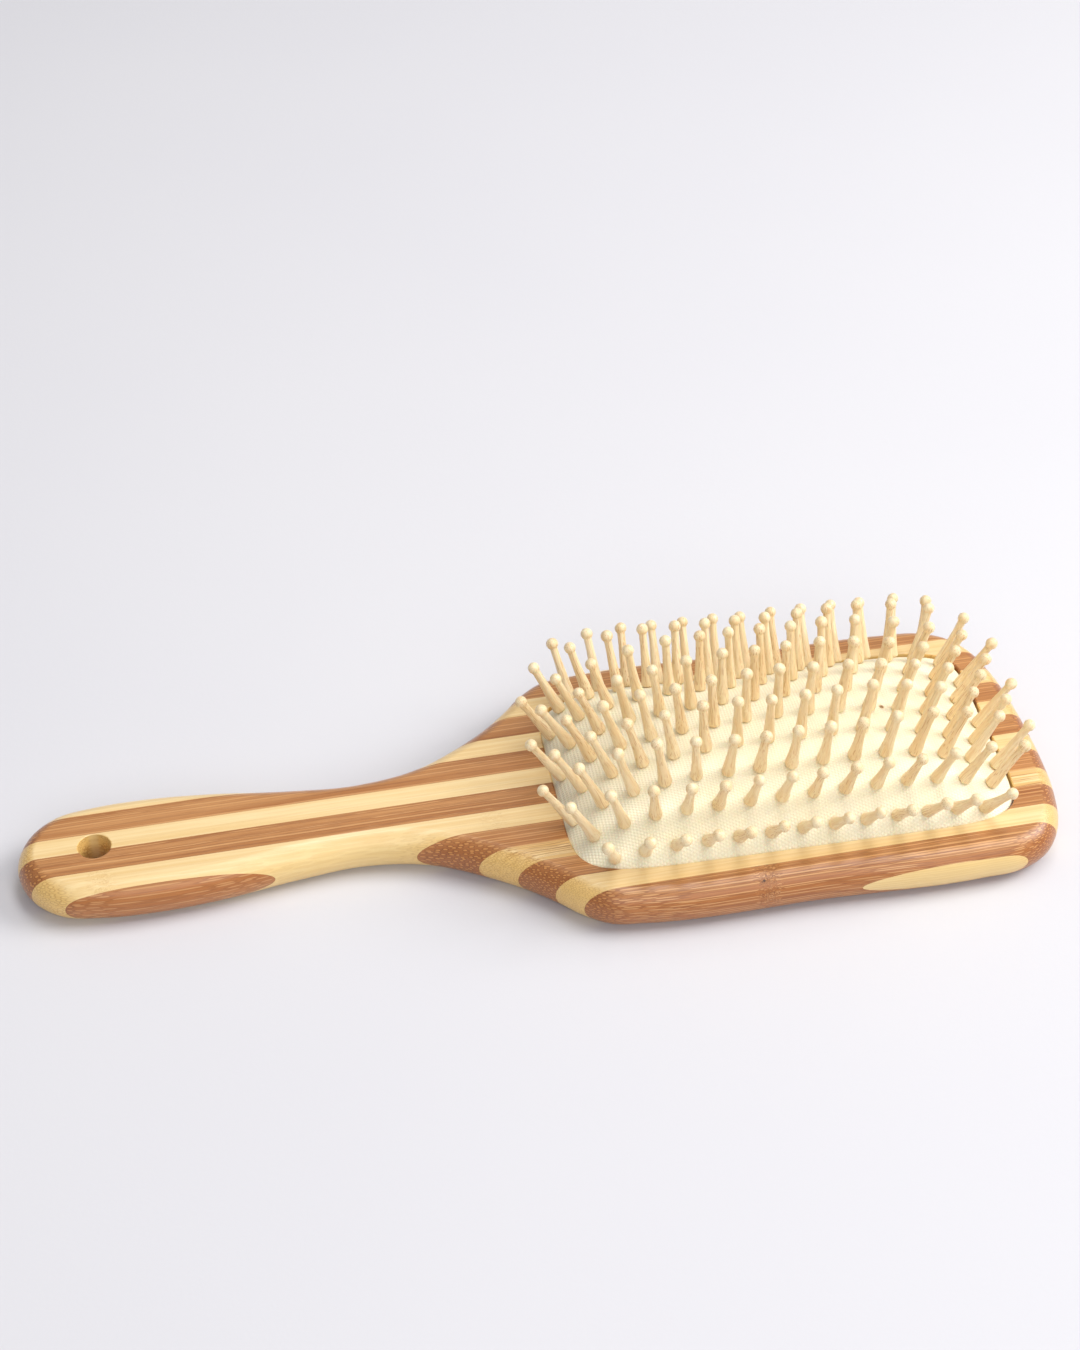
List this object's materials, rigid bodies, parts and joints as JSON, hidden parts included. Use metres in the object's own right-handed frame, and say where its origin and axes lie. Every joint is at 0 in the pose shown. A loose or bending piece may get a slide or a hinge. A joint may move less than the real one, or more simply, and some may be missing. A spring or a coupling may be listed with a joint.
{
  "type": "paddle brush",
  "caption": "Flat striped bamboo paddle brush with a drilled handle, a domed rubber air cushion in a pocket and rows of ball-tipped wooden pins.",
  "frame": {"origin": "centre of the outline, on the flat back face that the brush lies on", "axes": "+X along the brush from the hanging end of the handle to the tip of the head, +Y across the head, +Z out of the pins"},
  "size_m": [0.2462, 0.0828, 0.0401],
  "materials": {
    "light_bamboo": "satin lacquer",
    "dark_bamboo": "satin lacquer",
    "cream_rubber": "matt, finely embossed",
    "pin_bamboo": "satin lacquer"
  },
  "bodies": {
    "board": {"stave_01_light": "light_bamboo", "stave_02_dark": "dark_bamboo", "stave_03_light": "light_bamboo", "stave_04_dark": "dark_bamboo", "stave_05_light": "light_bamboo", "stave_06_dark": "dark_bamboo", "stave_07_light": "light_bamboo", "stave_08_dark": "dark_bamboo", "stave_09_light": "light_bamboo", "stave_10_dark": "dark_bamboo", "stave_11_light": "light_bamboo", "stave_12_dark": "dark_bamboo", "stave_13_light": "light_bamboo", "stave_14_dark": "dark_bamboo", "stave_15_light": "light_bamboo"},
    "cushion": {"air_cushion": "cream_rubber"},
    "pin_row_1": {"pins_row_1": "pin_bamboo"},
    "pin_row_2": {"pins_row_2": "pin_bamboo"},
    "pin_row_3": {"pins_row_3": "pin_bamboo"},
    "pin_row_4": {"pins_row_4": "pin_bamboo"},
    "pin_row_5": {"pins_row_5": "pin_bamboo"},
    "pin_row_6": {"pins_row_6": "pin_bamboo"},
    "pin_row_7": {"pins_row_7": "pin_bamboo"},
    "pin_row_8": {"pins_row_8": "pin_bamboo"},
    "pin_row_9": {"pins_row_9": "pin_bamboo"}
  },
  "joints": [
    {"name": "cushion_press", "type": "slide", "parent": "board", "child": "cushion", "axis": [0, 0, -1], "range_m": [0, 0.0011], "stiffness_N_per_m": 2500, "deforming": ["air_cushion"]},
    {"name": "row_1_tilt", "type": "hinge", "parent": "cushion", "child": "pin_row_1", "pos_m": [0.0583, -0.02721, 0.01353], "axis": [1, 0, 0], "range_deg": [-6, 6], "stiffness_Nm_per_rad": 0.25},
    {"name": "row_2_tilt", "type": "hinge", "parent": "cushion", "child": "pin_row_2", "pos_m": [0.0583, -0.02106, 0.01793], "axis": [1, 0, 0], "range_deg": [-6, 6], "stiffness_Nm_per_rad": 0.25},
    {"name": "row_3_tilt", "type": "hinge", "parent": "cushion", "child": "pin_row_3", "pos_m": [0.0583, -0.01426, 0.02027], "axis": [1, 0, 0], "range_deg": [-6, 6], "stiffness_Nm_per_rad": 0.25},
    {"name": "row_4_tilt", "type": "hinge", "parent": "cushion", "child": "pin_row_4", "pos_m": [0.0583, -0.00701, 0.02173], "axis": [1, 0, 0], "range_deg": [-6, 6], "stiffness_Nm_per_rad": 0.25},
    {"name": "row_5_tilt", "type": "hinge", "parent": "cushion", "child": "pin_row_5", "pos_m": [0.0583, 0.00045, 0.02123], "axis": [1, 0, 0], "range_deg": [-6, 6], "stiffness_Nm_per_rad": 0.25},
    {"name": "row_6_tilt", "type": "hinge", "parent": "cushion", "child": "pin_row_6", "pos_m": [0.0583, 0.0079, 0.02179], "axis": [1, 0, 0], "range_deg": [-6, 6], "stiffness_Nm_per_rad": 0.25},
    {"name": "row_7_tilt", "type": "hinge", "parent": "cushion", "child": "pin_row_7", "pos_m": [0.0583, 0.01502, 0.02039], "axis": [1, 0, 0], "range_deg": [-6, 6], "stiffness_Nm_per_rad": 0.25},
    {"name": "row_8_tilt", "type": "hinge", "parent": "cushion", "child": "pin_row_8", "pos_m": [0.0583, 0.02149, 0.01789], "axis": [1, 0, 0], "range_deg": [-6, 6], "stiffness_Nm_per_rad": 0.25},
    {"name": "row_9_tilt", "type": "hinge", "parent": "cushion", "child": "pin_row_9", "pos_m": [0.0583, 0.027, 0.01388], "axis": [1, 0, 0], "range_deg": [-6, 6], "stiffness_Nm_per_rad": 0.25}
  ]
}
